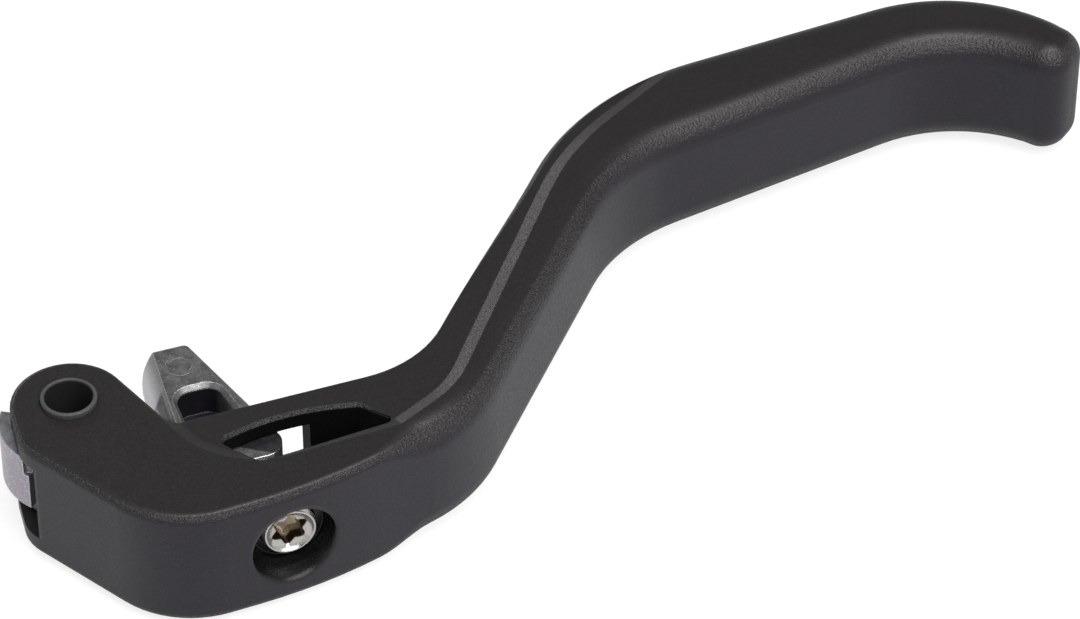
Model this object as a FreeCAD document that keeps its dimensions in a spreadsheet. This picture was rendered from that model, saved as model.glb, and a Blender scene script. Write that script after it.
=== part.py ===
import FreeCAD, Part
import math
import os
import Sketcher

doc = FreeCAD.newDocument("bicycle_brake_lever")
SHEET = "sizes"
sheet = doc.addObject("Spreadsheet::Sheet", SHEET)

# Frame: the origin sits on the pivot axis at mid height, +Z runs up the pivot axis,
# +X runs along the finger section to the tip, -Y is the side the fingers pull.
# All sizes are in millimetres and degrees.
SIZES = {
    # blade outline: straight runs meeting at virtual corners, each corner with its rounding
    "half_height": 7.3,
    "boss_round": 6.2,
    "left_x": -6.75, "left_y": -4.9, "left_round": 5.0,
    "chin_x": 10.45, "chin_y": -17.45, "chin_round": 11.0,
    "front_x": 16.9, "front_y": 0.85, "front_round": 60.0,
    "knee_x": 18.9, "knee_y": 5.6, "knee_round": 19.0,
    "reach_x": 28.65, "reach_y": 34.0, "reach_round": 22.0,
    "hook_x": 43.75, "hook_y": 7.9, "hook_round": 16.0,
    "lip_x": 8.9, "lip_y": -9.4, "lip_round": 3.3,
    "tip_x": 5.6, "tip_y": 4.3, "tip_round": 3.3,
    "heel_x": 5.3, "heel_y": 9.4, "heel_round": 20.5,
    "shoulder_x": -0.35, "shoulder_y": 13.2, "shoulder_round": 33.0,
    "elbow_x": -3.1, "elbow_y": 9.4, "elbow_round": 13.0,
    "notch_x": 9.0, "notch_y": -6.75, "notch_round": 1.5,
    # rounding of the upper and lower edges, growing from the hub to the finger section
    "ear_edge": 0.65,
    "hub_edge": 1.0,
    "finger_edge": 3.1,
    "tip_edge": 2.9,
    "back_edge": 2.7,
    # lowered strip along the rear of the neck with its sloped facet
    "step_depth": 0.5,
    "facet_width": 1.5,
    "step_rise": 0.7,
    "strip_a_x": 4.65, "strip_a_y": 8.4,
    "strip_b_x": 3.85, "strip_b_y": -7.95, "strip_b_round": 9.0,
    "strip_c_x": -0.6, "strip_c_y": 0.3,
    "strip_d_x": 1.5, "strip_d_y": -3.8, "strip_d_round": 12.0,
    "strip_e_x": -5.35, "strip_e_y": -9.1, "strip_e_round": 37.0,
    "strip_f_x": 15.8, "strip_f_y": 3.2,
    "strip_g_x": 2.2, "strip_g_y": 14.7,
    "strip_h_x": 12.0, "strip_h_y": 24.0,
    # slot through both ears above and below the adjuster
    "slot_a_x": 4.1, "slot_a_y": -4.0, "slot_a_round": 0.6,
    "slot_b_x": 6.8, "slot_b_y": -9.0, "slot_b_round": 1.0,
    "slot_c_x": -4.8, "slot_c_y": -7.6, "slot_c_round": 0.8,
    "slot_d_x": -8.1, "slot_d_y": -3.9, "slot_d_round": 0.6,
    "slot_e_x": 7.3, "slot_e_y": 2.0, "slot_e_round": 24.0,
    "slot_lip": 0.35,
    "slot_lip_slope": 45.0,
    "bevel_a_x": 1.3, "bevel_a_y": -1.9, "bevel_a_round": 0.5,
    "bevel_b_x": 1.3, "bevel_b_y": -1.9, "bevel_b_round": 0.5,
    # fork between the ears and the pocket behind the front wall
    "fork_half": 4.85,
    "fork_round": 8.7,
    "fork_a_x": -8.0, "fork_a_y": 16.0,
    "fork_b_x": -5.7, "fork_b_y": 3.7, "fork_b_round": 2.0,
    "fork_c_x": 5.5, "fork_c_y": 4.6, "fork_c_round": 1.5,
    "fork_d_y": 30.9,
    # pivot bush, pressed in both ears
    "bush_bore_radius": 2.5,
    "bush_radius": 3.0,
    "bush_stand": 0.6,
    "bush_rim": 0.15,
    # thrust arm: hub on the bush, nose for the piston, foot for the adjuster
    "arm_gap": 0.25,
    "arm_bore_gap": 0.03,
    "hub_round": 5.6,
    "foot_b_x": -7.0, "foot_b_round": 1.6,
    "foot_a_x": 2.9, "foot_a_y": 7.15, "foot_a_round": 2.2,
    "nose_b_x": 14.8, "nose_b_y": 7.2, "nose_b_round": 0.7,
    "nose_a_x": -5.15, "nose_a_round": 0.4,
    "nose_root_x": -0.9, "nose_root_y": -11.6, "nose_root_round": 0.8,
    "push_round": 8.2,
    "window_a_x": 1.65, "window_a_y": -6.8, "window_a_round": 1.7,
    "window_b_x": -0.1, "window_b_y": -6.6, "window_b_round": 1.7,
    "window_c_x": 5.9, "window_c_round": 1.7,
    "window_d_x": 4.6, "window_d_round": 1.7,
    "window_rim": 0.45,
    "web_half": 0.75,
    "lug_radius": 7.5,
    "lug_root": 4.5,
    "lug_low": -2.1,
    "lug_rear": 150.0,
    "lug_front": 217.3,
    "lug_nick_x": -5.95, "lug_nick_y": -4.55,
    "lug_nick_radius": 0.7,
    "lug_nick_depth": 2.3,
    # reach adjuster: grub screw with a six lobe socket, and its swivelling pad
    "screw_x": -2.9, "screw_y": 2.0,
    "thread_radius": 3.0,
    "thread_gap": 0.05,
    "screw_rim": 0.2,
    "screw_tip_rim": 0.6,
    "cup_radius": 2.55,
    "cup_floor_radius": 2.0,
    "cup_depth": 0.5,
    "socket_radius": 1.975,
    "socket_waist": 1.425,
    "lobe_radius": 0.33,
    "socket_depth": 2.6,
    "dish_mouth_radius": 4.8,
    "dish_mouth_y": -2.2,
    "dish_floor_radius": 3.9,
    "dish_floor_y": 1.2,
    "dish_flare_radius": 5.6,
    "dish_flare_y": -5.0,
    "hole_end_y": 5.6,
    "pad_radius": 2.1,
    "pad_thick": 1.0,
    "pad_crown": 0.38,
    "pad_stem_radius": 1.0,
    "pad_stem_length": 1.6,
    "pad_fit_gap": 0.05,
    "pad_foot_gap": 0.15,
}
# a corner's two values count from the corner named here, or else from the pivot
ANCHOR = {
    "chin": "left", "front": "chin", "knee": "front", "reach": "knee", "hook": "reach", "lip": "hook",
    "tip": "lip", "heel": "hook", "shoulder": "reach", "elbow": "knee",
    "strip_b": "notch", "strip_c": "slot_c", "strip_d": "elbow",
    "strip_e": "shoulder", "strip_f": "shoulder", "strip_g": "shoulder",
    "slot_a": "notch", "slot_b": "notch", "slot_c": "elbow", "slot_d": "elbow", "slot_e": "slot_a",
    "bevel_a": "slot_a", "bevel_b": "slot_d",
    "screw": "front", "fork_b": "screw", "fork_c": "screw", "fork_d": "fork_c",
    "foot_a": "screw", "foot_b": "foot_a", "nose_a": "nose_b", "nose_root": "nose_a",
    "window_a": "nose_a", "window_b": "window_a", "window_c": "window_b", "window_d": "window_a",
}
LOBES = 6
NEAR = 1e-3
for row, (label, amount) in enumerate(SIZES.items(), start=1):
    sheet.set("A%d" % row, label)
    sheet.set("B%d" % row, str(amount))
    sheet.setAlias("B%d" % row, label)
doc.recompute()


def size(name):
    return float(sheet.get(name))


def bind(obj, prop, formula):
    obj.setExpression(prop, formula)


def alias(name):
    return "%s.%s" % (SHEET, name)


def new_body(name):
    return doc.addObject("PartDesign::Body", name)


def base_plane(body, role):
    return next(f for f in body.Origin.OriginFeatures if f.Role == role)


def new_sketch(body, name, role="XY_Plane"):
    sketch = body.newObject("Sketcher::SketchObject", name)
    sketch.AttachmentSupport = [(base_plane(body, role), "")]
    sketch.MapMode = "FlatFace"
    return sketch


def total(*terms):
    """A sum of sheet values, as a number and as a formula; a leading minus subtracts."""
    value = 0.0
    formula = "0"
    for term in terms:
        name = term.lstrip("-")
        sign = -1 if term.startswith("-") else 1
        value += sign * size(name)
        formula += " %s %s" % ("-" if sign < 0 else "+", alias(name))
    return value, formula


def trail(corner, letter):
    """The sheet values that add up to a corner's place along one axis."""
    names = trail(ANCHOR[corner], letter) if corner in ANCHOR else ()
    own = corner + "_" + letter
    return names + (own,) if own in SIZES else names


def point(corner):
    return FreeCAD.Vector(total(*trail(corner, "x"))[0], total(*trail(corner, "y"))[0], 0)


def tangent_point(start, radius, side):
    """Where a line from start touches the circle about the pivot, on the given side."""
    reach = math.sqrt(start.Length ** 2 - radius ** 2)
    heading = math.atan2(-start.y, -start.x) - side * math.asin(radius / start.Length)
    return start + FreeCAD.Vector(math.cos(heading), math.sin(heading), 0) * reach


def draw_arc(sketch, centre, start, end, turn):
    first, last = (start, end) if turn > 0 else (end, start)
    radius = (start - centre).Length
    circle = Part.Circle(centre, FreeCAD.Vector(0, 0, 1), radius)
    a0 = math.atan2(first.y - centre.y, first.x - centre.x)
    a1 = math.atan2(last.y - centre.y, last.x - centre.x)
    return sketch.addGeometry(Part.ArcOfCircle(circle, a0, a1), False)


def place(sketch, geo, pos, corner):
    """Tie a sketch point to the sheet values of a corner."""
    for kind, letter in (("DistanceX", "x"), ("DistanceY", "y")):
        value, formula = total(*trail(corner, letter))
        index = sketch.addConstraint(Sketcher.Constraint(kind, -1, 1, geo, pos, value))
        sketch.renameConstraint(index, corner + "_" + letter)
        bind(sketch, "Constraints.%s_%s" % (corner, letter), formula)


def round_to(sketch, arc, name):
    index = sketch.addConstraint(Sketcher.Constraint("Radius", arc, size(name)))
    sketch.renameConstraint(index, name)
    bind(sketch, "Constraints." + name, alias(name))


def outline(sketch, corners, hub=None):
    """Closed outline through rounded corners, counter-clockwise.

    A corner named like hub is an arc about the pivot; a corner without a rounding
    in the sheet stays sharp.
    """
    count = len(corners)
    spots = [None if c == hub else point(c) for c in corners]
    starts = [None] * count
    ends = [None] * count
    turns = [1] * count
    centres = [FreeCAD.Vector()] * count
    for i, corner in enumerate(corners):
        if corner == hub:
            starts[i] = tangent_point(spots[i - 1], size(hub + "_round"), 1)
            ends[i] = tangent_point(spots[(i + 1) % count], size(hub + "_round"), -1)
    for i, corner in enumerate(corners):
        if corner == hub:
            continue
        before = ends[i - 1] if corners[i - 1] == hub else spots[i - 1]
        after = starts[(i + 1) % count] if corners[(i + 1) % count] == hub else spots[(i + 1) % count]
        run_in = (spots[i] - before).normalize()
        run_out = (after - spots[i]).normalize()
        turn = math.atan2(run_in.cross(run_out).z, run_in.dot(run_out))
        radius = size(corner + "_round") if corner + "_round" in SIZES else 0.0
        turns[i] = math.copysign(1, turn)
        trim = radius * math.tan(abs(turn) / 2)
        starts[i] = spots[i] - run_in * trim
        ends[i] = spots[i] + run_out * trim
        centres[i] = starts[i] + FreeCAD.Vector(-run_in.y, run_in.x, 0) * radius * turns[i]
    lines = []
    arcs = {}
    for i in range(count):
        run = Part.LineSegment(ends[i], starts[(i + 1) % count])
        lines.append(sketch.addGeometry(run, False))
    for i, corner in enumerate(corners):
        line_in = lines[i - 1]
        line_out = lines[i]
        if corner + "_round" not in SIZES:
            sketch.addConstraint(Sketcher.Constraint("Coincident", line_in, 2, line_out, 1))
            place(sketch, line_out, 1, corner)
            continue
        arc = draw_arc(sketch, centres[i], starts[i], ends[i], turns[i])
        arcs[corner] = arc
        arc_start, arc_end = (1, 2) if turns[i] > 0 else (2, 1)
        sketch.addConstraint(Sketcher.Constraint("Tangent", line_in, 2, arc, arc_start))
        sketch.addConstraint(Sketcher.Constraint("Tangent", arc, arc_end, line_out, 1))
        round_to(sketch, arc, corner + "_round")
        if corner == hub:
            sketch.addConstraint(Sketcher.Constraint("Coincident", arc, 3, -1, 1))
            continue
        mark = sketch.addGeometry(Part.Point(spots[i]), True)
        sketch.addConstraint(Sketcher.Constraint("PointOnObject", mark, 1, line_in))
        sketch.addConstraint(Sketcher.Constraint("PointOnObject", mark, 1, line_out))
        place(sketch, mark, 1, corner)
    return sketch


def profile(sketch, points):
    """Closed profile of straight runs through points given as pairs of sums."""
    spots = [FreeCAD.Vector(x[0], y[0], 0) for x, y in points]
    pairs = zip(spots, spots[1:] + spots[:1])
    runs = [sketch.addGeometry(Part.LineSegment(a, b), False) for a, b in pairs]
    for i, (x, y) in enumerate(points):
        sketch.addConstraint(Sketcher.Constraint("Coincident", runs[i - 1], 2, runs[i], 1))
        for kind, axis, (value, formula) in (("DistanceX", -2, x), ("DistanceY", -1, y)):
            if formula == "0":
                sketch.addConstraint(Sketcher.Constraint("PointOnObject", runs[i], 1, axis))
                continue
            index = sketch.addConstraint(Sketcher.Constraint(kind, -1, 1, runs[i], 1, value))
            name = "p%d%s" % (i, kind[-1])
            sketch.renameConstraint(index, name)
            bind(sketch, "Constraints." + name, formula)
    return sketch


def ring(sketch, radius, spot=None):
    """A circle about the sketch origin, or about a corner of the sheet."""
    value, formula = radius
    centre = FreeCAD.Vector() if spot is None else point(spot)
    circle = Part.Circle(centre, FreeCAD.Vector(0, 0, 1), value)
    geo = sketch.addGeometry(circle, False)
    if spot is None:
        sketch.addConstraint(Sketcher.Constraint("Coincident", geo, 3, -1, 1))
    else:
        place(sketch, geo, 3, spot)
    index = sketch.addConstraint(Sketcher.Constraint("Radius", geo, value))
    sketch.renameConstraint(index, "ring_radius")
    bind(sketch, "Constraints.ring_radius", formula)
    return sketch


def shift(sketch, letter, formula):
    bind(sketch, "AttachmentOffset.Base." + letter, formula)


def turn(body, kind, sketch, name):
    """Revolve a profile about the upright axis of its sketch."""
    feature = body.newObject("PartDesign::" + kind, name)
    feature.Profile = sketch
    feature.ReferenceAxis = (sketch, ["V_Axis"])
    feature.Angle = 360
    return feature


def mirror(body, feature, name):
    """Repeat a feature on the far side of the mid plane."""
    copy = body.newObject("PartDesign::Mirrored", name)
    copy.Originals = [feature]
    copy.MirrorPlane = (base_plane(body, "XY_Plane"), [""])
    body.Tip = copy
    return copy


def pad(body, sketch, name, length, midplane=True):
    feature = body.newObject("PartDesign::Pad", name)
    feature.Profile = sketch
    feature.Midplane = midplane
    bind(feature, "Length", length)
    sketch.Visibility = False
    return feature


def pocket(body, sketch, name, length, midplane=True):
    feature = body.newObject("PartDesign::Pocket", name)
    feature.Profile = sketch
    feature.Midplane = midplane
    bind(feature, "Length", length)
    return feature


# places that several pieces share
SCREW_X = total(*trail("screw", "x"))
SCREW_Y = trail("screw", "y")
FOOT_Y = trail("foot_a", "y")
ARM_HALF = total("fork_half", "-arm_gap")

# most of a wall that the chamfer beside it may take
RIM_SHARE = 0.6


# lever blade, forged and machined from one piece

BLADE = ("boss", "left", "chin", "front", "knee", "reach", "hook",
         "lip", "tip", "heel", "shoulder", "elbow", "notch")
EDGE = {
    "boss": "ear_edge", "elbow": "ear_edge", "notch": "ear_edge",
    "left": "hub_edge", "chin": "hub_edge", "front": "hub_edge",
    "knee": "finger_edge", "reach": "finger_edge", "hook": "finger_edge",
    "lip": "tip_edge", "tip": "tip_edge",
    "heel": "back_edge", "shoulder": "back_edge",
}


def blade_core():
    body = new_body("blade_core")
    sketch = outline(new_sketch(body, "blade_outline"), BLADE, hub="boss")
    pad(body, sketch, "blade_pad", "2 * " + alias("half_height"))
    doc.recompute()
    return body


def edge_sizes(core):
    """Rounding at both ends of every upper and lower edge of the blade."""
    half = size("half_height")
    spots = {c: FreeCAD.Vector() if c == "boss" else point(c) for c in BLADE}
    rims = []
    at_vertex = {}

    def key(vertex):
        return (round(vertex.X, 3), round(vertex.Y, 3), round(vertex.Z, 3))

    for number, edge in enumerate(core.Shape.Edges, start=1):
        box = edge.BoundBox
        if abs(abs(box.ZMin) - half) > NEAR or box.ZLength > NEAR:
            continue
        rims.append((number, edge))
        if edge.Curve.TypeId != "Part::GeomCircle":
            continue
        middle = edge.valueAt((edge.FirstParameter + edge.LastParameter) / 2)
        flat = FreeCAD.Vector(middle.x, middle.y, 0)
        if edge.Curve.Center.sub(FreeCAD.Vector(0, 0, edge.Curve.Center.z)).Length < NEAR:
            owner = "boss"
        else:
            owner = min(BLADE[1:], key=lambda c: (spots[c] - flat).Length)
        for vertex in edge.Vertexes:
            at_vertex[key(vertex)] = size(EDGE[owner])
    plan = []
    for number, edge in rims:
        first = edge.valueAt(edge.FirstParameter)
        ends = sorted(edge.Vertexes, key=lambda v: (v.Point - first).Length)
        plan.append((number, at_vertex[key(ends[0])], at_vertex[key(ends[1])]))
    return plan


def lever_blade():
    core = blade_core()
    rounded = doc.addObject("Part::Fillet", "blade_rounded")
    rounded.Base = core
    rounded.Edges = edge_sizes(core)
    doc.recompute()
    body = new_body("lever_blade")
    body.BaseFeature = rounded

    strip = new_sketch(body, "rear_strip_outline")
    shift(strip, "z", "%s - %s" % (alias("half_height"), alias("step_depth")))
    outline(strip, ["strip_" + c for c in "abcdefgh"])
    step = pocket(body, strip, "rear_strip", alias("step_rise"), midplane=False)
    step.Reversed = True
    bind(step, "TaperAngle", "atan(%s / %s)" % (alias("facet_width"), alias("step_depth")))
    doc.recompute()
    mirror(body, step, "rear_strip_below")

    slot = outline(new_sketch(body, "ear_slot_outline"), ["slot_" + c for c in "abcde"])
    pocket(body, slot, "ear_slots", "4 * " + alias("half_height"))

    lip = new_sketch(body, "slot_lip_outline")
    shift(lip, "z", "%s - %s - %s" % (alias("half_height"), alias("step_depth"), alias("slot_lip")))
    outline(lip, ("slot_a", "bevel_a", "bevel_b", "slot_d", "slot_e"))
    bevel = pocket(body, lip, "slot_lip", "2 * " + alias("slot_lip"), midplane=False)
    bevel.Reversed = True
    bind(bevel, "TaperAngle", alias("slot_lip_slope"))
    doc.recompute()
    mirror(body, bevel, "slot_lip_below")

    fork = new_sketch(body, "fork_outline")
    outline(fork, ("fork_a", "fork", "fork_b", "fork_c", "fork_d"), hub="fork")
    pocket(body, fork, "fork", "2 * " + alias("fork_half"))

    eye = ring(new_sketch(body, "pivot_eye_outline"), total("bush_radius"))
    pocket(body, eye, "pivot_eye", "4 * " + alias("half_height"))

    dish = new_sketch(body, "adjuster_dish_profile")
    shift(dish, "x", SCREW_X[1])
    bore = total("thread_radius", "thread_gap")
    profile(dish, (
        (total(), total(*SCREW_Y, "dish_flare_y")),
        (total("dish_flare_radius"), total(*SCREW_Y, "dish_flare_y")),
        (total("dish_mouth_radius"), total(*SCREW_Y, "dish_mouth_y")),
        (total("dish_floor_radius"), total(*SCREW_Y, "dish_floor_y")),
        (bore, total(*SCREW_Y, "dish_floor_y")),
        (bore, total(*SCREW_Y, "hole_end_y")),
        (total(), total(*SCREW_Y, "hole_end_y")),
    ))
    turn(body, "Groove", dish, "adjuster_dish")
    doc.recompute()
    return body


# pivot bush, a plain sleeve standing proud of both ears

def pivot_bush():
    body = new_body("pivot_bush")
    sketch = new_sketch(body, "bush_profile", "XZ_Plane")
    inner = total("bush_bore_radius")
    outer = total("bush_radius")
    inner_rim = total("bush_bore_radius", "bush_rim")
    outer_rim = total("bush_radius", "-bush_rim")
    top = total("half_height", "bush_stand")
    low = total("-half_height", "-bush_stand")
    top_rim = total("half_height", "bush_stand", "-bush_rim")
    low_rim = total("-half_height", "-bush_stand", "bush_rim")
    profile(sketch, (
        (inner_rim, low), (outer_rim, low), (outer, low_rim), (outer, top_rim),
        (outer_rim, top), (inner_rim, top), (inner, top_rim), (inner, low_rim),
    ))
    turn(body, "Revolution", sketch, "bush_sleeve")
    doc.recompute()
    return body


# thrust arm, one die casting: hub, nose and foot

def lug_outline(sketch):
    """Sector about the pivot between two headings."""
    inner = size("lug_root")
    outer = size("lug_radius")
    first = math.radians(size("lug_rear"))
    last = math.radians(size("lug_front"))

    def at(radius, angle):
        return FreeCAD.Vector(radius * math.cos(angle), radius * math.sin(angle), 0)

    origin = FreeCAD.Vector()
    far = draw_arc(sketch, origin, at(outer, first), at(outer, last), 1)
    near = draw_arc(sketch, origin, at(inner, first), at(inner, last), 1)
    sides = []
    for angle in (first, last):
        sides.append(sketch.addGeometry(Part.LineSegment(at(inner, angle), at(outer, angle)), False))
    for end, side, heading in ((1, sides[0], "lug_rear"), (2, sides[1], "lug_front")):
        sketch.addConstraint(Sketcher.Constraint("Coincident", near, end, side, 1))
        sketch.addConstraint(Sketcher.Constraint("Coincident", far, end, side, 2))
        sketch.addConstraint(Sketcher.Constraint("PointOnObject", -1, 1, side))
        index = sketch.addConstraint(Sketcher.Constraint("Angle", side, math.radians(size(heading))))
        sketch.renameConstraint(index, heading)
        bind(sketch, "Constraints." + heading, alias(heading) + " * 1 deg")
    for arc, radius in ((far, "lug_radius"), (near, "lug_root")):
        sketch.addConstraint(Sketcher.Constraint("Coincident", arc, 3, -1, 1))
        round_to(sketch, arc, radius)
    return sketch


def push_relief(sketch):
    """What is cut from the nose to leave its barrel shaped push face."""
    radius = size("push_round")
    reach = size("fork_half")
    depth = radius - math.sqrt(radius ** 2 - reach ** 2)
    top = FreeCAD.Vector(depth, reach, 0)
    low = FreeCAD.Vector(depth, -reach, 0)
    arc = draw_arc(sketch, FreeCAD.Vector(radius, 0, 0), top, low, 1)
    corners = (top, FreeCAD.Vector(0, reach, 0), FreeCAD.Vector(0, -reach, 0), low)
    runs = [sketch.addGeometry(Part.LineSegment(a, b), False) for a, b in zip(corners, corners[1:])]
    join = Sketcher.Constraint
    sketch.addConstraint(join("Coincident", arc, 1, runs[0], 1))
    sketch.addConstraint(join("Coincident", runs[0], 2, runs[1], 1))
    sketch.addConstraint(join("Coincident", runs[1], 2, runs[2], 1))
    sketch.addConstraint(join("Coincident", runs[2], 2, arc, 2))
    sketch.addConstraint(join("Horizontal", runs[0]))
    sketch.addConstraint(join("Horizontal", runs[2]))
    sketch.addConstraint(join("PointOnObject", runs[1], 1, -2))
    sketch.addConstraint(join("PointOnObject", runs[1], 2, -2))
    sketch.addConstraint(join("PointOnObject", arc, 3, -1))
    round_to(sketch, arc, "push_round")
    for kind, geo, pos, name, sign in (
            ("DistanceX", arc, 3, "push_round", 1),
            ("DistanceY", runs[0], 1, "fork_half", 1),
            ("DistanceY", runs[2], 1, "fork_half", -1)):
        index = sketch.addConstraint(join(kind, -1, 1, geo, pos, sign * size(name)))
        label = "cut%d" % index
        sketch.renameConstraint(index, label)
        bind(sketch, "Constraints." + label, "%d * %s" % (sign, alias(name)))
    return sketch


def rim_edges(shape, spot, heights):
    """Names of the edges round the opening about a point, in the flat faces at some heights."""
    names = []
    for face in shape.Faces:
        box = face.BoundBox
        level = min(abs(box.Center.z - h) for h in heights)
        if box.ZLength > NEAR or level > NEAR:
            continue
        for wire in face.Wires:
            if wire.isSame(face.OuterWire) or not wire.BoundBox.isInside(spot.x, spot.y, box.Center.z):
                continue
            for number, edge in enumerate(shape.Edges, start=1):
                if any(edge.isSame(rim) for rim in wire.Edges):
                    names.append("Edge%d" % number)
    return names


def thrust_arm():
    body = new_body("thrust_arm")
    sketch = outline(new_sketch(body, "arm_outline"),
                     ("hub", "foot_b", "foot_a", "nose_b", "nose_a", "nose_root"), hub="hub")
    pad(body, sketch, "arm_web", "2 * (%s)" % ARM_HALF[1])

    lug = lug_outline(new_sketch(body, "lug_outline"))
    shift(lug, "z", alias("lug_low"))
    pad(body, lug, "lug", "%s - %s" % (ARM_HALF[1], alias("lug_low")), midplane=False)

    relief = push_relief(new_sketch(body, "push_face_profile", "XZ_Plane"))
    shift(relief, "x", total(*trail("nose_a", "x"))[1])
    shift(relief, "z", "-(%s)" % total(*trail("nose_a", "y"))[1])
    relief.AttachmentOffset.Rotation.Axis = FreeCAD.Vector(0, 1, 0)
    slant = "atan(%s / %s)" % (alias("nose_root_x"), alias("nose_root_y"))
    bind(relief, "AttachmentOffset.Rotation.Angle", "-" + slant)
    pocket(body, relief, "push_face", "2 * (%s - %s)" % (alias("nose_root_round"), alias("nose_root_y")))

    bore = ring(new_sketch(body, "hub_bore_outline"), total("bush_radius", "arm_bore_gap"))
    pocket(body, bore, "hub_bore", "4 * (%s)" % ARM_HALF[1])

    nick = ring(new_sketch(body, "lug_nick_outline"), total("lug_nick_radius"), "lug_nick")
    shift(nick, "z", ARM_HALF[1])
    pocket(body, nick, "lug_nick", alias("lug_nick_depth"), midplane=False)

    window = outline(new_sketch(body, "window_outline"), ["window_" + c for c in "abcd"])
    shift(window, "z", alias("web_half"))
    above = pocket(body, window, "window_above", ARM_HALF[1] + " - " + alias("web_half"), midplane=False)
    above.Reversed = True
    doc.recompute()
    opening = mirror(body, above, "window_below")
    doc.recompute()
    rim = body.newObject("PartDesign::Chamfer", "window_rim")
    middle = (point("window_a") + point("window_c")) / 2
    rim.Base = (opening, rim_edges(opening.Shape, middle, (ARM_HALF[0], -ARM_HALF[0])))
    recess = "%s - sqrt(%s ^ 2 - (%s) ^ 2)" % (alias("push_round"), alias("push_round"), ARM_HALF[1])
    slope = "%s * %s / %s" % (alias("nose_root_x"), alias("window_a_y"), alias("nose_root_y"))
    wall = "%s - %s - (%s)" % (alias("window_a_x"), slope, recess)
    bind(rim, "Size", "min(%s; %s * (%s))" % (alias("window_rim"), RIM_SHARE, wall))
    doc.recompute()
    return body


# reach adjuster

SCREW_END = FOOT_Y + ("-pad_foot_gap", "-pad_thick", "-pad_fit_gap")


def socket_outline(sketch):
    """Six lobes joined by six hollows, all tangent."""
    lobe = size("lobe_radius")
    lobe_at = size("socket_radius") - lobe
    waist = size("socket_waist")
    pitch = math.pi / LOBES
    lean = math.cos(pitch)
    hollow = (lobe_at ** 2 + waist ** 2 - 2 * lobe_at * waist * lean - lobe ** 2) / (
        2 * (lobe - waist + lobe_at * lean))
    hollow_at = waist + hollow

    def at(radius, step):
        return FreeCAD.Vector(radius * math.cos(step * pitch), radius * math.sin(step * pitch), 0)

    arcs = []
    for step in range(0, 2 * LOBES, 2):
        tip = at(lobe_at, step)
        before = at(hollow_at, step - 1)
        after = at(hollow_at, step + 1)
        start = tip + (before - tip).normalize() * lobe
        end = tip + (after - tip).normalize() * lobe
        arcs.append(draw_arc(sketch, tip, start, end, 1))
        following = at(lobe_at, step + 2)
        far_end = following + (after - following).normalize() * lobe
        arcs.append(draw_arc(sketch, after, end, far_end, -1))
    for arc in arcs:
        sketch.addConstraint(Sketcher.Constraint("Block", arc))
    return sketch


def reach_screw():
    body = new_body("reach_screw")
    sketch = new_sketch(body, "screw_profile")
    shift(sketch, "x", SCREW_X[1])
    face = total(*SCREW_Y)
    cup = total(*SCREW_Y, "cup_depth")
    end = total(*SCREW_END)
    seat = total("pad_stem_radius", "pad_fit_gap")
    seat_floor = total(*SCREW_END, "-pad_stem_length", "-pad_fit_gap")
    profile(sketch, (
        (total(), cup),
        (total("cup_floor_radius"), cup),
        (total("cup_radius"), face),
        (total("thread_radius", "-screw_rim"), face),
        (total("thread_radius"), total(*SCREW_Y, "screw_rim")),
        (total("thread_radius"), total(*SCREW_END, "-screw_tip_rim")),
        (total("thread_radius", "-screw_tip_rim"), end),
        (seat, end),
        (seat, seat_floor),
        (total(), seat_floor),
    ))
    turn(body, "Revolution", sketch, "screw_shank")
    socket = socket_outline(new_sketch(body, "socket_outline", "XZ_Plane"))
    shift(socket, "x", SCREW_X[1])
    shift(socket, "z", "-(%s)" % total(*SCREW_Y)[1])
    pocket(body, socket, "socket", alias("socket_depth"), midplane=False)
    doc.recompute()
    return body


def thrust_pad():
    body = new_body("thrust_pad")
    sketch = new_sketch(body, "pad_profile")
    shift(sketch, "x", SCREW_X[1])
    crown = FOOT_Y + ("-pad_foot_gap",)
    back = crown + ("-pad_thick",)
    stem_end = total(*back, "-pad_fit_gap", "-pad_stem_length")
    profile(sketch, (
        (total(), total(*crown)),
        (total("pad_radius"), total(*crown, "-pad_crown")),
        (total("pad_radius"), total(*back)),
        (total("pad_stem_radius"), total(*back)),
        (total("pad_stem_radius"), stem_end),
        (total(), stem_end),
    ))
    turn(body, "Revolution", sketch, "pad_button")
    doc.recompute()
    return body


PIECES = (lever_blade(), pivot_bush(), thrust_arm(), reach_screw(), thrust_pad())
doc.recompute()
for obj in doc.Objects:
    if "Invalid" in obj.State or "Error" in obj.State:
        raise RuntimeError("%s did not build: %s" % (obj.Name, obj.State))
os.makedirs("parts", exist_ok=True)
for piece in PIECES:
    if piece.Shape.isNull() or not piece.Shape.isValid():
        raise RuntimeError("%s has no valid shape" % piece.Name)
    print(piece.Name, round(piece.Shape.Volume, 1), len(piece.Shape.Solids), piece.Shape.BoundBox)
    piece.Shape.exportStep("parts/%s.step" % piece.Name)
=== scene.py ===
import math

import bmesh
import bpy
from mathutils import Matrix, Vector


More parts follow.
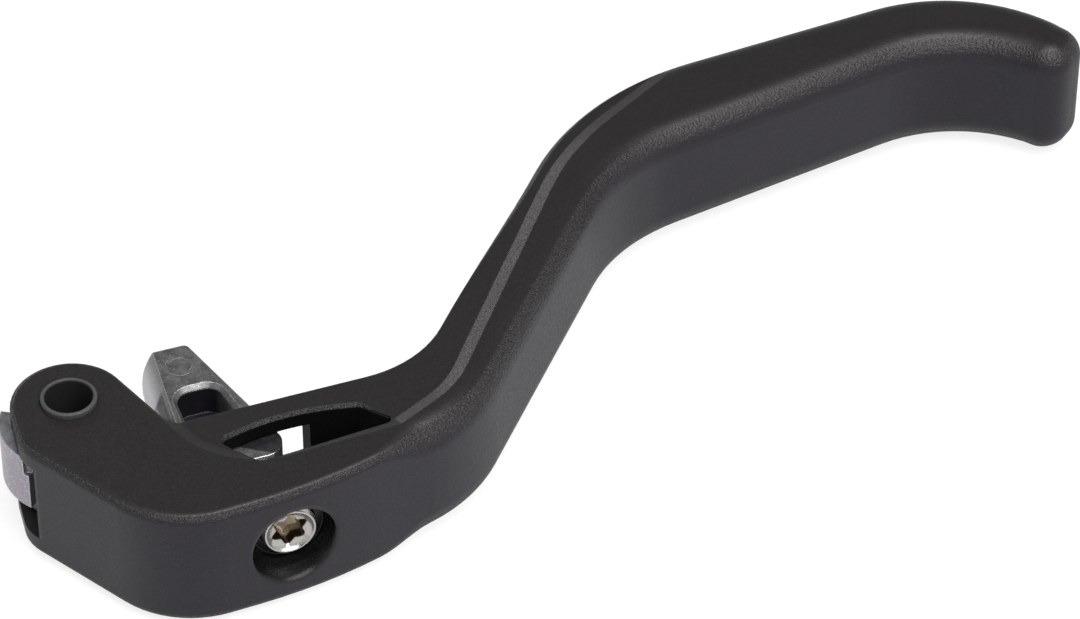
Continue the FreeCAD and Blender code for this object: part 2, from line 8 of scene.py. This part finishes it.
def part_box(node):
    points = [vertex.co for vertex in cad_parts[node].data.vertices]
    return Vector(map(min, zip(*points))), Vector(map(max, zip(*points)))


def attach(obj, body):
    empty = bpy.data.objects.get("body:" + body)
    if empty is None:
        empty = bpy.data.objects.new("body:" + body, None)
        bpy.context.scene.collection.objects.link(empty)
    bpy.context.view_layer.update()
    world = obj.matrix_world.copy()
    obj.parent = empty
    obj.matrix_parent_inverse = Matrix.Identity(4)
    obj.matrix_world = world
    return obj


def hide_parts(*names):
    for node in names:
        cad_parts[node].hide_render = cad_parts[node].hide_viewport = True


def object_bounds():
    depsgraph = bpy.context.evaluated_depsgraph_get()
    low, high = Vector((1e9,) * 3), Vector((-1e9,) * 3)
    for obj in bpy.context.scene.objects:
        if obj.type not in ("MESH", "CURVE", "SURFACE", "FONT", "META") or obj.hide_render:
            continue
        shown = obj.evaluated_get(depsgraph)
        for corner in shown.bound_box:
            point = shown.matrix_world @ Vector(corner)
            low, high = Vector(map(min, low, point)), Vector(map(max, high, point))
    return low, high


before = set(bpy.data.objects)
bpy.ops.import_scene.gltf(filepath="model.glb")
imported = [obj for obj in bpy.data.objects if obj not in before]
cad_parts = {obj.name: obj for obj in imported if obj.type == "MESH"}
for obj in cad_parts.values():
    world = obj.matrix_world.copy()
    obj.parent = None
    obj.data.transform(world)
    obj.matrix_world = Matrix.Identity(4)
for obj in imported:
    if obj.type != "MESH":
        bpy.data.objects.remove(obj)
solid_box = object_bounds()
MM = 0.001


# node helpers

BEVEL_SAMPLES = 6
# cosine between the true and the rounded direction, at an edge and off it
EDGE_TURN = (0.82, 0.97)
# the part of a noise pattern's range that most of it lies in
NOISE_RANGE = (0.3, 0.7)
# detail and roughness of the noise for a fine skin, and detail of the noise for specks
SKIN_NOISE = (3.0, 0.6)
SPECK_DETAIL = 1.0


class Tree:
    """A node tree with short calls for the nodes used here."""

    def __init__(self, tree):
        self.tree = tree

    def new(self, kind):
        return self.tree.nodes.new(kind)

    def link(self, source, target):
        self.tree.links.new(source, target)

    def feed(self, target, value):
        """Set an input to a value, or link it to another node's output."""
        if isinstance(value, bpy.types.NodeSocket):
            self.link(value, target)
        else:
            target.default_value = value

    def math(self, kind, a, b=0.0):
        node = self.new("ShaderNodeMath")
        node.operation = kind
        self.feed(node.inputs[0], a)
        self.feed(node.inputs[1], b)
        return node.outputs[0]

    def times(self, a, b):
        return self.math("MULTIPLY", a, b)

    def most(self, a, b):
        return self.math("MAXIMUM", a, b)

    def span(self, value, low, high, to_low=0.0, to_high=1.0):
        """A smooth step between two limits."""
        node = self.new("ShaderNodeMapRange")
        node.interpolation_type = "SMOOTHSTEP"
        for i, part in enumerate((value, low, high, to_low, to_high)):
            self.feed(node.inputs[i], part)
        return node.outputs[0]

    def fade(self, value, low, high):
        """1 up to the lower limit, falling to 0 at the upper one."""
        return self.span(value, low, high, 1.0, 0.0)

    def within(self, value, low, high, soft):
        """1 between two limits, falling to 0 over a soft margin outside them."""
        return self.times(self.span(value, low - soft, low), self.fade(value, high, high + soft))


class Surface(Tree):
    """A material with one principled shader and patterns placed in the part's frame."""

    def __init__(self, name):
        self.material = bpy.data.materials.new(name)
        self.material.use_nodes = True
        super().__init__(self.material.node_tree)
        self.tree.nodes.clear()
        out = self.new("ShaderNodeOutputMaterial")
        self.shader = self.new("ShaderNodeBsdfPrincipled")
        self.link(self.shader.outputs["BSDF"], out.inputs["Surface"])
        self.coords = self.new("ShaderNodeTexCoord").outputs["Object"]

    def set(self, **values):
        """Feed the shader; an underscore stands for a space in an input's name."""
        for name, value in values.items():
            self.feed(self.shader.inputs[name.replace("_", " ")], value)

    def noise(self, size_mm, detail=2.0, rough=0.5, squash=(1, 1, 1)):
        """Noise whose features are about that many millimetres across."""
        place = self.new("ShaderNodeMapping")
        place.inputs["Scale"].default_value = squash
        self.link(self.coords, place.inputs["Vector"])
        node = self.new("ShaderNodeTexNoise")
        node.inputs["Scale"].default_value = 1 / (size_mm * MM)
        node.inputs["Detail"].default_value = detail
        node.inputs["Roughness"].default_value = rough
        self.link(place.outputs[0], node.inputs["Vector"])
        return node.outputs["Fac"]

    def axes(self):
        """The object coordinates in millimetres."""
        scale = self.new("ShaderNodeVectorMath")
        scale.operation = "SCALE"
        scale.inputs["Scale"].default_value = 1 / MM
        self.link(self.coords, scale.inputs[0])
        node = self.new("ShaderNodeSeparateXYZ")
        self.link(scale.outputs[0], node.inputs[0])
        return node.outputs

    def upward(self):
        """How far the surface faces up, from -1 to 1."""
        node = self.new("ShaderNodeSeparateXYZ")
        self.link(self.new("ShaderNodeTexCoord").outputs["Normal"], node.inputs[0])
        return node.outputs["Z"]

    def facing(self):
        """0 where the surface is seen straight on, 1 where it is seen edge on."""
        return self.new("ShaderNodeLayerWeight").outputs["Facing"]

    def away(self, a, b, centre):
        """Distance of two coordinates from a centre."""
        da = self.math("SUBTRACT", a, centre[0])
        db = self.math("SUBTRACT", b, centre[1])
        return self.math("SQRT", self.math("ADD", self.times(da, da), self.times(db, db)))

    def patch(self, x, y, limits, soft_x, soft_y):
        """1 inside limits on x and y, falling to 0 over a soft margin outside them."""
        low_x, high_x, low_y, high_y = limits
        return self.times(self.within(x, low_x, high_x, soft_x), self.within(y, low_y, high_y, soft_y))

    def worn_edges(self, radius):
        """The surface direction with sharp edges rounded off."""
        node = self.new("ShaderNodeBevel")
        node.samples = BEVEL_SAMPLES
        self.feed(node.inputs["Radius"], radius)
        return node.outputs[0]

    def edges(self, rounded):
        """1 at sharp edges: where the rounded direction leaves the true one."""
        turn = self.new("ShaderNodeVectorMath")
        turn.operation = "DOT_PRODUCT"
        self.link(self.new("ShaderNodeNewGeometry").outputs["True Normal"], turn.inputs[0])
        self.link(rounded, turn.inputs[1])
        return self.fade(turn.outputs["Value"], *EDGE_TURN)

    def mix(self, fac, a, b):
        """Two colours mixed by a factor."""
        node = self.new("ShaderNodeMix")
        node.data_type = "RGBA"
        self.feed(node.inputs["Factor"], fac)
        for name, colour in (("A", a), ("B", b)):
            fixed = not isinstance(colour, bpy.types.NodeSocket)
            self.feed(node.inputs[name], (*colour, 1.0) if fixed else colour)
        return node.outputs["Result"]

    def bump(self, height, distance_mm, strength, below=None):
        """The surface direction roughened by a height, over another direction."""
        node = self.new("ShaderNodeBump")
        node.inputs["Strength"].default_value = strength
        node.inputs["Distance"].default_value = distance_mm * MM
        self.link(height, node.inputs["Height"])
        if below is not None:
            self.link(below, node.inputs["Normal"])
        return node.outputs["Normal"]


# black coat: lengths and places in millimetres, as in all materials

screw_low, screw_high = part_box("reach_screw")
SCREW = ((screw_low[0] + screw_high[0]) / 2 / MM, (screw_low[2] + screw_high[2]) / 2 / MM)
SCREW_FACE = screw_low[1] / MM
DISH_RADIUS = 4.8
DISH_EDGE = (DISH_RADIUS - 0.5, DISH_RADIUS + 0.6)
DISH_BACK = (SCREW_FACE + 1.5, SCREW_FACE + 2.5)
MOUTH_HALF = 0.3
MOUTH_SOFT = 0.4
SLOT = (12.8, 31.2, -16.0, -9.2)
SLOT_LIP = 6.3
SLOT_LIP_SOFT = 0.2
FORK = (12.8, 29.5, -16.0, -4.0)
FORK_HALF = 4.7
FORK_HALF_SOFT = 0.1
# share of the painted shade in the fork
FORK_PAINTED_SHADE = 0.95
INSIDE_SOFT = 0.3
FINGER_START = (50.0, 75.0)

# painted light and shade by facing: lighter tops, darker and bluer sides
COAT_LIT_TOP = ((0.0090, 0.0080, 0.0084), (0.0110, 0.0099, 0.0103))
COAT_SHADED_SIDE = ((0.0052, 0.0042, 0.0078), (0.0068, 0.0056, 0.0099))
COAT_SPECK = (0.018, 0.017, 0.019)
# near-black painted shade for the dish, the slot and the fork
COAT_PAINTED_SHADE = (0.0035, 0.0035, 0.0038)
COAT_TURN = (0.2, 0.9)
COAT_CLOUD_SIZE = 5.0
COAT_SPECK_SIZE = 0.17
COAT_SPECK_RANGE = (0.64, 0.74)
COAT_ROUGH = (0.28, 0.38)
DISH_POLISH = 0.08
# gloss seen straight on and edge on, and where one passes into the other
COAT_GLOSS = (0.275, 0.05)
COAT_GLOSS_TURN = (0.4, 0.8)
INSIDE_GLOSS = 0.05
COAT_EDGE = 0.22
MOUTH_EDGE = 0.9
GRAIN_SIZE = 0.3
GRAIN_ROUGH = 0.65
GRAIN_MIDDLE = 0.5
# depth and strength, as in the other materials
GRAIN_BUMP = (0.42, 0.7)
# shares of the grain on flat faces, on the finger section and in the dish
FLAT_GRAIN = 0.07
FINGER_GRAIN = 0.5
DISH_GRAIN = 0.02
# lean of a rounded edge, where its grain comes in and where it goes
BEND_IN = (0.0, 0.6)
BEND_OUT = (0.80, 0.94)


def black_coat():
    """Satin powder coat, grainy on rounded edges; tops painted lighter than sides, and painted shade in
    the dish, slot and fork.
    """
    n = Surface("black_coat")
    x, y, z = n.axes()
    grain = n.noise(GRAIN_SIZE, rough=GRAIN_ROUGH)
    cloud = n.noise(COAT_CLOUD_SIZE)
    # painted light and shade: tops take the lighter tone, sides the darker one
    tone = n.mix(n.span(n.upward(), *COAT_TURN), n.mix(cloud, *COAT_SHADED_SIDE), n.mix(cloud, *COAT_LIT_TOP))
    specks = n.span(n.noise(COAT_SPECK_SIZE, SPECK_DETAIL), *COAT_SPECK_RANGE)
    tone = n.mix(specks, tone, COAT_SPECK)

    reach = n.away(x, z, SCREW)
    front = n.fade(y, *DISH_BACK)
    dish = n.times(n.fade(reach, *DISH_EDGE), front)
    mouth = n.within(reach, DISH_RADIUS - MOUTH_HALF, DISH_RADIUS + MOUTH_HALF, MOUTH_SOFT)
    mouth = n.times(mouth, front)
    slot = n.patch(x, y, SLOT, INSIDE_SOFT, INSIDE_SOFT)
    slot = n.times(slot, n.within(z, -SLOT_LIP, SLOT_LIP, SLOT_LIP_SOFT))
    fork = n.patch(x, y, FORK, INSIDE_SOFT, INSIDE_SOFT)
    fork = n.times(fork, n.within(z, -FORK_HALF, FORK_HALF, FORK_HALF_SOFT))
    inside = n.most(slot, n.times(fork, FORK_PAINTED_SHADE))
    # painted shade: the dish, the slot and the fork are darkened; the slot and the fork also lose their
    # gloss
    n.set(Base_Color=n.mix(n.most(dish, inside), tone, COAT_PAINTED_SHADE))

    rough = n.span(grain, *NOISE_RANGE, *COAT_ROUGH)
    n.set(Roughness=n.math("SUBTRACT", rough, n.times(dish, DISH_POLISH)))
    gloss = n.span(n.facing(), *COAT_GLOSS_TURN, *COAT_GLOSS)
    n.set(Specular_IOR_Level=n.times(gloss, n.span(inside, 0.0, 1.0, 1.0, INSIDE_GLOSS)))

    lean = n.math("ABSOLUTE", n.upward())
    bends = n.times(n.span(lean, *BEND_IN), n.fade(lean, *BEND_OUT))
    bends = n.times(bends, n.span(x, *FINGER_START, 1.0, FINGER_GRAIN))
    share = n.times(n.span(dish, 0.0, 1.0, 1.0, DISH_GRAIN), n.span(bends, 0.0, 1.0, FLAT_GRAIN, 1.0))
    height = n.times(n.math("SUBTRACT", grain, GRAIN_MIDDLE), share)
    rounded = n.worn_edges(n.span(mouth, 0.0, 1.0, COAT_EDGE * MM, MOUTH_EDGE * MM))
    n.set(Normal=n.bump(height, *GRAIN_BUMP, rounded))
    return n.material


# cast zinc

POCKET = (9.8, 15.6, -6.6, 0.8)
POCKET_SOFT = (1.4, 1.0)
POCKET_HALF = 3.9
POCKET_HALF_SOFT = 0.3
LUG_END = (-6.0, -4.0)
# the foot lies past these limits and on one side of a slanting line
FOOT_X = (11.0, 13.0)
FOOT_Y = (-7.2, -6.6)
FOOT_LINE = (-0.548, -0.835)
FOOT_EDGE = (-0.05, 0.2)
NOSE_PIN = (13.2, 4.2)
NOSE_PIN_RADIUS = 1.4
NOSE_PIN_HALF = 0.08
NOSE_PIN_SOFT = 0.14
NOSE_TOP = (4.3, 4.5)

# painted light and shade by facing: sides much lighter than tops; the lug has a less contrasted pair
ZINC_LIT_SIDE = ((0.29, 0.28, 0.304), (0.53, 0.512, 0.55))
ZINC_SHADED_TOP = ((0.085, 0.088, 0.088), (0.185, 0.189, 0.189))
LUG_LIT_SIDE = ((0.165, 0.150, 0.178), (0.365, 0.335, 0.390))
LUG_SHADED_TOP = ((0.145, 0.146, 0.163), (0.315, 0.315, 0.345))
# specks on the sides and on the top; the top's are darker, as painted shade by facing
ZINC_SPECKS = ((0.66, 0.65, 0.67), (0.34, 0.34, 0.35))
# dark colour for the painted shade on the pocket's rim
ZINC_RIM_PAINTED_SHADE = (0.07, 0.07, 0.075)
# pale colour for the painted highlight on sharp edges
ZINC_EDGE_HIGHLIGHT = (0.80, 0.79, 0.82)
# near-black painted shade for the pocket and the foot
ZINC_PAINTED_SHADE = (0.030, 0.028, 0.037)
ZINC_TURN = (0.2, 0.6)
ZINC_SPECK_SIZE = 0.16
ZINC_SPECK_RANGE = (0.62, 0.74)
MOTTLE_SIZE = 1.0
MOTTLE_DETAIL = 4.0
MOTTLE_ROUGH = 0.65
CAST_SKIN_SIZE = 0.14
RIM_LEAN = (0.45, 0.85)
RIM_LEAN_SOFT = 0.06
RIM_PAINTED_SHADE = 0.35
FOOT_PAINTED_SHADE = 0.85
EDGE_HIGHLIGHT_SHARE = 0.8
CAST_EDGE = 0.22
ZINC_METAL = 0.85
ZINC_ROUGH = (0.32, 0.50)
NOSE_PIN_BUMP = (0.06, 0.6)
CAST_SKIN_BUMP = (0.025, 0.4)


def cast_zinc():
    """Dull die casting, mottled and specked, pin mark on the nose; painted light on sides and edges,
    painted shade on tops, pocket and foot.
    """
    n = Surface("cast_zinc")
    x, y, z = n.axes()
    mottle = n.noise(MOTTLE_SIZE, MOTTLE_DETAIL, MOTTLE_ROUGH)
    lug = n.fade(x, *LUG_END)
    side = n.mix(lug, n.mix(mottle, *ZINC_LIT_SIDE), n.mix(mottle, *LUG_LIT_SIDE))
    top = n.mix(lug, n.mix(mottle, *ZINC_SHADED_TOP), n.mix(mottle, *LUG_SHADED_TOP))
    # painted light and shade by facing: sides take the lighter tone, tops the darker one
    upper = n.span(n.upward(), *ZINC_TURN)
    specks = n.span(n.noise(ZINC_SPECK_SIZE, SPECK_DETAIL), *ZINC_SPECK_RANGE)
    tone = n.mix(specks, n.mix(upper, side, top), n.mix(upper, *ZINC_SPECKS))

    pocket = n.patch(x, y, POCKET, *POCKET_SOFT)
    # painted shade on the sloped rim round the pocket
    rim = n.times(pocket, n.within(n.upward(), *RIM_LEAN, RIM_LEAN_SOFT))
    tone = n.mix(n.times(rim, RIM_PAINTED_SHADE), tone, ZINC_RIM_PAINTED_SHADE)
    rounded = n.worn_edges(CAST_EDGE * MM)
    # painted highlight: sharp edges are turned pale
    tone = n.mix(n.times(n.edges(rounded), EDGE_HIGHLIGHT_SHARE), tone, ZINC_EDGE_HIGHLIGHT)
    # painted shade: the pocket and the foot are darkened
    pocket = n.times(pocket, n.within(z, -POCKET_HALF, POCKET_HALF, POCKET_HALF_SOFT))
    line = n.math("ADD", n.times(x, FOOT_LINE[0]), n.times(y, FOOT_LINE[1]))
    foot = n.times(n.span(x, *FOOT_X), n.fade(y, *FOOT_Y))
    foot = n.times(foot, n.fade(line, *FOOT_EDGE))
    n.set(Base_Color=n.mix(n.most(pocket, n.times(foot, FOOT_PAINTED_SHADE)), tone, ZINC_PAINTED_SHADE))
    n.set(Metallic=ZINC_METAL, Roughness=n.span(mottle, *NOISE_RANGE, *ZINC_ROUGH))

    low, high = NOSE_PIN_RADIUS - NOSE_PIN_HALF, NOSE_PIN_RADIUS + NOSE_PIN_HALF
    pin = n.within(n.away(x, y, NOSE_PIN), low, high, NOSE_PIN_SOFT)
    marked = n.bump(n.times(pin, n.span(z, *NOSE_TOP)), *NOSE_PIN_BUMP, rounded)
    skin = n.noise(CAST_SKIN_SIZE, *SKIN_NOISE)
    n.set(Normal=n.bump(skin, *CAST_SKIN_BUMP, marked))
    return n.material


# grey bush

BORE_RADIUS = 2.5
BORE_EDGE = (BORE_RADIUS + 0.04, BORE_RADIUS + 0.16)
BUSH_TONE = ((0.027, 0.027, 0.0272), (0.046, 0.046, 0.0465))
BORE_PAINTED_SHADE = (0.008, 0.008, 0.008)
BUSH_SKIN_SIZE = 0.15
BUSH_ROUGH = (0.5, 0.65)
BUSH_GLOSS = 0.3
BUSH_EDGE = 0.2
BUSH_BUMP = (0.012, 0.4)


def bush_grey():
    """Matte plain bearing; the bore is painted near black as shade."""
    n = Surface("bush_grey")
    x, y, _ = n.axes()
    skin = n.noise(BUSH_SKIN_SIZE, *SKIN_NOISE)
    # painted shade: the bore is darkened to near black
    bore = n.fade(n.away(x, y, (0.0, 0.0)), *BORE_EDGE)
    n.set(Base_Color=n.mix(bore, n.mix(skin, *BUSH_TONE), BORE_PAINTED_SHADE))
    n.set(Roughness=n.span(skin, *NOISE_RANGE, *BUSH_ROUGH), Specular_IOR_Level=BUSH_GLOSS)
    n.set(Normal=n.bump(skin, *BUSH_BUMP, n.worn_edges(BUSH_EDGE * MM)))
    return n.material


# screw steel

STEEL_TONE = ((0.35, 0.338, 0.325), (0.52, 0.507, 0.485))
SOCKET_BROWN_SHADED = ((0.045, 0.033, 0.018), (0.09, 0.068, 0.04))
SOCKET_GOLD_LIT = ((0.36, 0.315, 0.25), (0.59, 0.53, 0.44))
SOCKET_EDGE = (1.9, 2.05)
SOCKET_START = (SCREW_FACE + 0.45, SCREW_FACE + 0.7)
LIT_GOLD_START = (SCREW_FACE + 1.55, SCREW_FACE + 1.8)
TURNED_SIZE = 0.2
TURNED_SQUASH = (1, 6, 1)
STEEL_ROUGH = (0.20, 0.34)
SOCKET_ROUGHER = 0.12
TURNED_BUMP = (0.004, 0.4)


def screw_steel():
    """Turned steel, bright on the face; stained brown in the socket, with painted shade near its mouth
    and painted light deeper in.
    """
    n = Surface("screw_steel")
    x, y, z = n.axes()
    turned = n.noise(TURNED_SIZE, squash=TURNED_SQUASH)
    socket = n.times(n.fade(n.away(x, z, SCREW), *SOCKET_EDGE), n.span(y, *SOCKET_START))
    # brown stain with painted shade on the walls near the mouth and painted light deeper in, at the
    # floor
    stain = n.mix(n.span(y, *LIT_GOLD_START), n.mix(turned, *SOCKET_BROWN_SHADED), n.mix(turned, *SOCKET_GOLD_LIT))
    n.set(Base_Color=n.mix(socket, n.mix(turned, *STEEL_TONE), stain), Metallic=1.0)
    rough = n.span(turned, *NOISE_RANGE, *STEEL_ROUGH)
    n.set(Roughness=n.math("ADD", rough, n.times(socket, SOCKET_ROUGHER)))
    n.set(Normal=n.bump(turned, *TURNED_BUMP))
    return n.material


# brass

BRASS_TONE = ((0.38, 0.27, 0.11), (0.58, 0.43, 0.19))
BRASS_STAIN_SIZE = 0.6
BRASS_ROUGH = (0.3, 0.45)
BRASS_BUMP = (0.01, 0.3)


def pad_brass():
    """Turned brass with stains."""
    n = Surface("pad_brass")
    stain = n.noise(BRASS_STAIN_SIZE, *SKIN_NOISE)
    n.set(Base_Color=n.mix(stain, *BRASS_TONE), Metallic=1.0)
    n.set(Roughness=n.span(stain, *NOISE_RANGE, *BRASS_ROUGH))
    n.set(Normal=n.bump(stain, *BRASS_BUMP))
    return n.material


def dress(node, material):
    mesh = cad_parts[node].data
    mesh.materials.clear()
    mesh.materials.append(material)


dress("lever_blade", black_coat())
dress("pivot_bush", bush_grey())
dress("thrust_arm", cast_zinc())
dress("thrust_pad", pad_brass())


# adjuster screw with its thread and socket, in millimetres

AROUND = 96
PITCH = 1.0
ROWS_PER_PITCH = 10
END_ROWS = 3
THREAD_TOP = 2.98
THREAD_ROOT = 2.42
THREAD_START = 0.3
THREAD_END = 0.5
RUN_OUT = 0.3
# height of a ridge before its crest is cut flat at 1, and its fall on both sides for each pitch
RIDGE_PEAK = 1.6
RIDGE_FALL = 3.2
LOBES = 6
LOBE_TURN = math.radians(22.0)
SOCKET_TOP = 1.975
SOCKET_WAIST = 1.425
SOCKET_FLOOR = 2.6
SOCKET_TIP = 0.3
LOBE_BREAK = 0.08
CUP_RIM = 2.55
CUP_FLOOR = 2.02
CUP_DEPTH = 0.5
CUP_STEP = 0.02
CUP_BEND_SHARE = 0.3
CUP_BEND = 0.07
FACE_RIM = 2.8
STEM_HOLE = 1.05
STEM_DEPTH = 1.7
STEM_TIP = 0.2
TIP_RADIUS = 0.05
BREAK = 0.04
RIM_BREAK = 0.05
END_BREAK = 0.1
SHARP_ANGLE = math.radians(40)


def circle(radius):
    return [radius] * AROUND


def six_lobes():
    """Radius round the socket, between its waist and its lobes."""
    middle = (SOCKET_TOP + SOCKET_WAIST) / 2
    swing = (SOCKET_TOP - SOCKET_WAIST) / 2
    turns = [2 * math.pi * i / AROUND - LOBE_TURN for i in range(AROUND)]
    return [middle + swing * math.cos(LOBES * turn) for turn in turns]


def thread(depth, length):
    """Radius round the shank at a depth from the face, with run-outs at both ends."""
    after_start = (depth - THREAD_START) / RUN_OUT
    before_end = (length - THREAD_END - depth) / RUN_OUT
    full = min(1.0, max(0.0, after_start), max(0.0, before_end))
    radii = []
    for i in range(AROUND):
        phase = (depth / PITCH - i / AROUND) % 1.0
        ridge = min(1.0, max(0.0, RIDGE_PEAK - RIDGE_FALL * abs(phase - 0.5)))
        radii.append(THREAD_ROOT + (THREAD_TOP - THREAD_ROOT) * ridge * full)
    return radii


def screw_rows(length):
    """Pairs of depth from the face and radii, from the socket floor round to the stem hole."""
    lobes = six_lobes()
    rows = [
        (SOCKET_FLOOR + SOCKET_TIP, circle(TIP_RADIUS)),
        (SOCKET_FLOOR, lobes),
        (CUP_DEPTH + LOBE_BREAK, lobes),
        (CUP_DEPTH, [radius + BREAK for radius in lobes]),
        (CUP_DEPTH - CUP_STEP, circle(CUP_FLOOR)),
        (CUP_DEPTH * CUP_BEND_SHARE, circle(CUP_RIM - CUP_BEND)),
        (BREAK, circle(CUP_RIM)),
        (0.0, circle(CUP_RIM + RIM_BREAK)),
        (0.0, circle(FACE_RIM - RIM_BREAK)),
        (BREAK, circle(FACE_RIM)),
    ]
    count = int(length * ROWS_PER_PITCH)
    for i in range(END_ROWS, count - END_ROWS):
        depth = length * i / count
        rows.append((depth, thread(depth, length)))
    rows += [
        (length - BREAK, circle(THREAD_ROOT - BREAK)),
        (length, circle(THREAD_ROOT - END_BREAK)),
        (length, circle(STEM_HOLE + RIM_BREAK)),
        (length - RIM_BREAK, circle(STEM_HOLE)),
        (length - STEM_DEPTH, circle(STEM_HOLE)),
        (length - STEM_DEPTH - STEM_TIP, circle(TIP_RADIUS)),
    ]
    return rows


def add(name, data):
    """A new object in the scene."""
    obj = bpy.data.objects.new(name, data)
    bpy.context.scene.collection.objects.link(obj)
    return obj


def adjuster_screw():
    """The screw as one closed skin, in the place of its plain solid."""
    length = (screw_high[1] - screw_low[1]) / MM
    shape = bmesh.new()
    loops = []
    for depth, radii in screw_rows(length):
        loop = []
        for i, radius in enumerate(radii):
            a = 2 * math.pi * i / AROUND
            x = SCREW[0] + radius * math.cos(a)
            z = SCREW[1] + radius * math.sin(a)
            loop.append(shape.verts.new((x * MM, (SCREW_FACE + depth) * MM, z * MM)))
        loops.append(loop)
    for near, far in zip(loops, loops[1:]):
        for i in range(AROUND):
            k = (i + 1) % AROUND
            shape.faces.new((near[i], near[k], far[k], far[i]))
    shape.faces.new(reversed(loops[0]))
    shape.faces.new(loops[-1])
    bmesh.ops.recalc_face_normals(shape, faces=shape.faces)
    mesh = bpy.data.meshes.new("adjuster_screw")
    shape.to_mesh(mesh)
    shape.free()
    mesh.polygons.foreach_set("use_smooth", [True] * len(mesh.polygons))
    mesh.set_sharp_from_angle(angle=SHARP_ANGLE)
    mesh.materials.append(screw_steel())
    screw = add("adjuster_screw", mesh)
    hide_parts("reach_screw")
    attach(screw, "screw")


adjuster_screw()


# stage: floor, light and camera, in metres

WHITE = (1, 1, 1, 1)
FLOOR_HALF = 12.0
FLOOR_DROP = 0.05 * MM
FLOOR_TONE = (0.86, 0.86, 0.86, 1)
FLOOR_GLOW = 0.8
LIGHT_AIM = Vector((0.05, 0.0, 0.0))
LIGHT_TINT = (1.0, 0.985, 0.965)
# strength of the surroundings, and the heights and the depth between which one passes into the next
FRONT_HORIZON = 0.85
REAR_HORIZON = 0.4
HORIZON_TURN = (-0.3, 0.3)
SKY = 0.13
SKY_START = (0.36, 0.6)
OVERHEAD = 1.0
OVERHEAD_START = (0.74, 0.95)
CAMERA_AZIMUTH = -20.0
CAMERA_ELEVATION = 41.0
CAMERA_PLACE = Vector((-86.12, -379.96, 355.79)) * MM
CAMERA_CLIP = 0.01
SENSOR_WIDTH = 36.0
LENS = 166.67


def floor_paint():
    """Matte and pale; white to the camera and to mirrors, with a share of the shadow kept."""
    paint = bpy.data.materials.new("floor_paint")
    paint.use_nodes = True
    n = Tree(paint.node_tree)
    n.tree.nodes.clear()
    out = n.new("ShaderNodeOutputMaterial")
    matte = n.new("ShaderNodeBsdfDiffuse")
    matte.inputs["Color"].default_value = FLOOR_TONE
    glow = n.new("ShaderNodeEmission")
    glow.inputs["Color"].default_value = WHITE
    glow.inputs["Strength"].default_value = 1.0
    path = n.new("ShaderNodeLightPath").outputs
    seen = n.most(n.most(path["Is Camera Ray"], path["Is Glossy Ray"]), path["Is Transmission Ray"])
    blend = n.new("ShaderNodeMixShader")
    n.link(n.times(seen, FLOOR_GLOW), blend.inputs[0])
    n.link(matte.outputs[0], blend.inputs[1])
    n.link(glow.outputs[0], blend.inputs[2])
    n.link(blend.outputs[0], out.inputs["Surface"])
    return paint


def stage():
    """The floor, just below the part."""
    low = solid_box[0][2] - FLOOR_DROP
    signs = ((-1, -1), (1, -1), (1, 1), (-1, 1))
    mesh = bpy.data.meshes.new("floor")
    mesh.from_pydata([(x * FLOOR_HALF, y * FLOOR_HALF, low) for x, y in signs], [], [(0, 1, 2, 3)])
    mesh.materials.append(floor_paint())
    floor = add("floor", mesh)


def surroundings():
    """A white sweep: bright at the horizon, more so in front, dim above it and bright again overhead."""
    world = bpy.data.worlds.new("studio")
    world.use_nodes = True
    n = Tree(world.node_tree)
    split = n.new("ShaderNodeSeparateXYZ")
    n.link(n.new("ShaderNodeTexCoord").outputs["Generated"], split.inputs[0])
    horizon = n.span(split.outputs["Y"], *HORIZON_TURN, FRONT_HORIZON, REAR_HORIZON)
    fall = n.span(split.outputs["Z"], *SKY_START, horizon, SKY)
    rise = n.span(split.outputs["Z"], *OVERHEAD_START, 0.0, OVERHEAD - SKY)
    back = n.tree.nodes["Background"]
    back.inputs["Color"].default_value = WHITE
    n.link(n.math("ADD", fall, rise), back.inputs["Strength"])
    bpy.context.scene.world = world


def bearing(azimuth, elevation):
    """The direction from the part to a place round it; azimuth 0 is in front, 90 to the right."""
    a = math.radians(azimuth)
    e = math.radians(elevation)
    return Vector((math.sin(a) * math.cos(e), -math.cos(a) * math.cos(e), math.sin(e)))


def soft_light(name, azimuth, elevation, distance, width, height, power):
    lamp = bpy.data.lights.new(name, "AREA")
    lamp.shape = "RECTANGLE"
    lamp.size = width
    lamp.size_y = height
    lamp.energy = power
    lamp.color = LIGHT_TINT
    away = bearing(azimuth, elevation)
    obj = add(name, lamp)
    obj.location = LIGHT_AIM + away * distance
    obj.rotation_euler = away.to_track_quat("Z", "Y").to_euler()


def camera():
    """The photo's viewing angle and framing."""
    data = bpy.data.cameras.new("camera")
    data.sensor_fit = "HORIZONTAL"
    data.sensor_width = SENSOR_WIDTH
    data.lens = LENS
    data.clip_start = CAMERA_CLIP
    back = bearing(CAMERA_AZIMUTH, CAMERA_ELEVATION)
    a = math.radians(CAMERA_AZIMUTH)
    right = Vector((math.cos(a), math.sin(a), 0.0))
    turn = Matrix((right, back.cross(right), back)).transposed().to_4x4()
    obj = add("camera", data)
    obj.matrix_world = Matrix.Translation(CAMERA_PLACE) @ turn
    bpy.context.scene.camera = obj


stage()
surroundings()
soft_light("key", azimuth=20, elevation=62, distance=0.8, width=0.8, height=0.9, power=14.5)
soft_light("right", azimuth=100, elevation=16, distance=0.9, width=0.5, height=0.25, power=0.32)
soft_light("rear", azimuth=-172, elevation=19, distance=0.9, width=0.4, height=0.12, power=0.92)
soft_light("left", azimuth=-85, elevation=35, distance=0.9, width=0.5, height=0.5, power=1.1)
camera()
bpy.context.scene.view_settings.view_transform = "Standard"
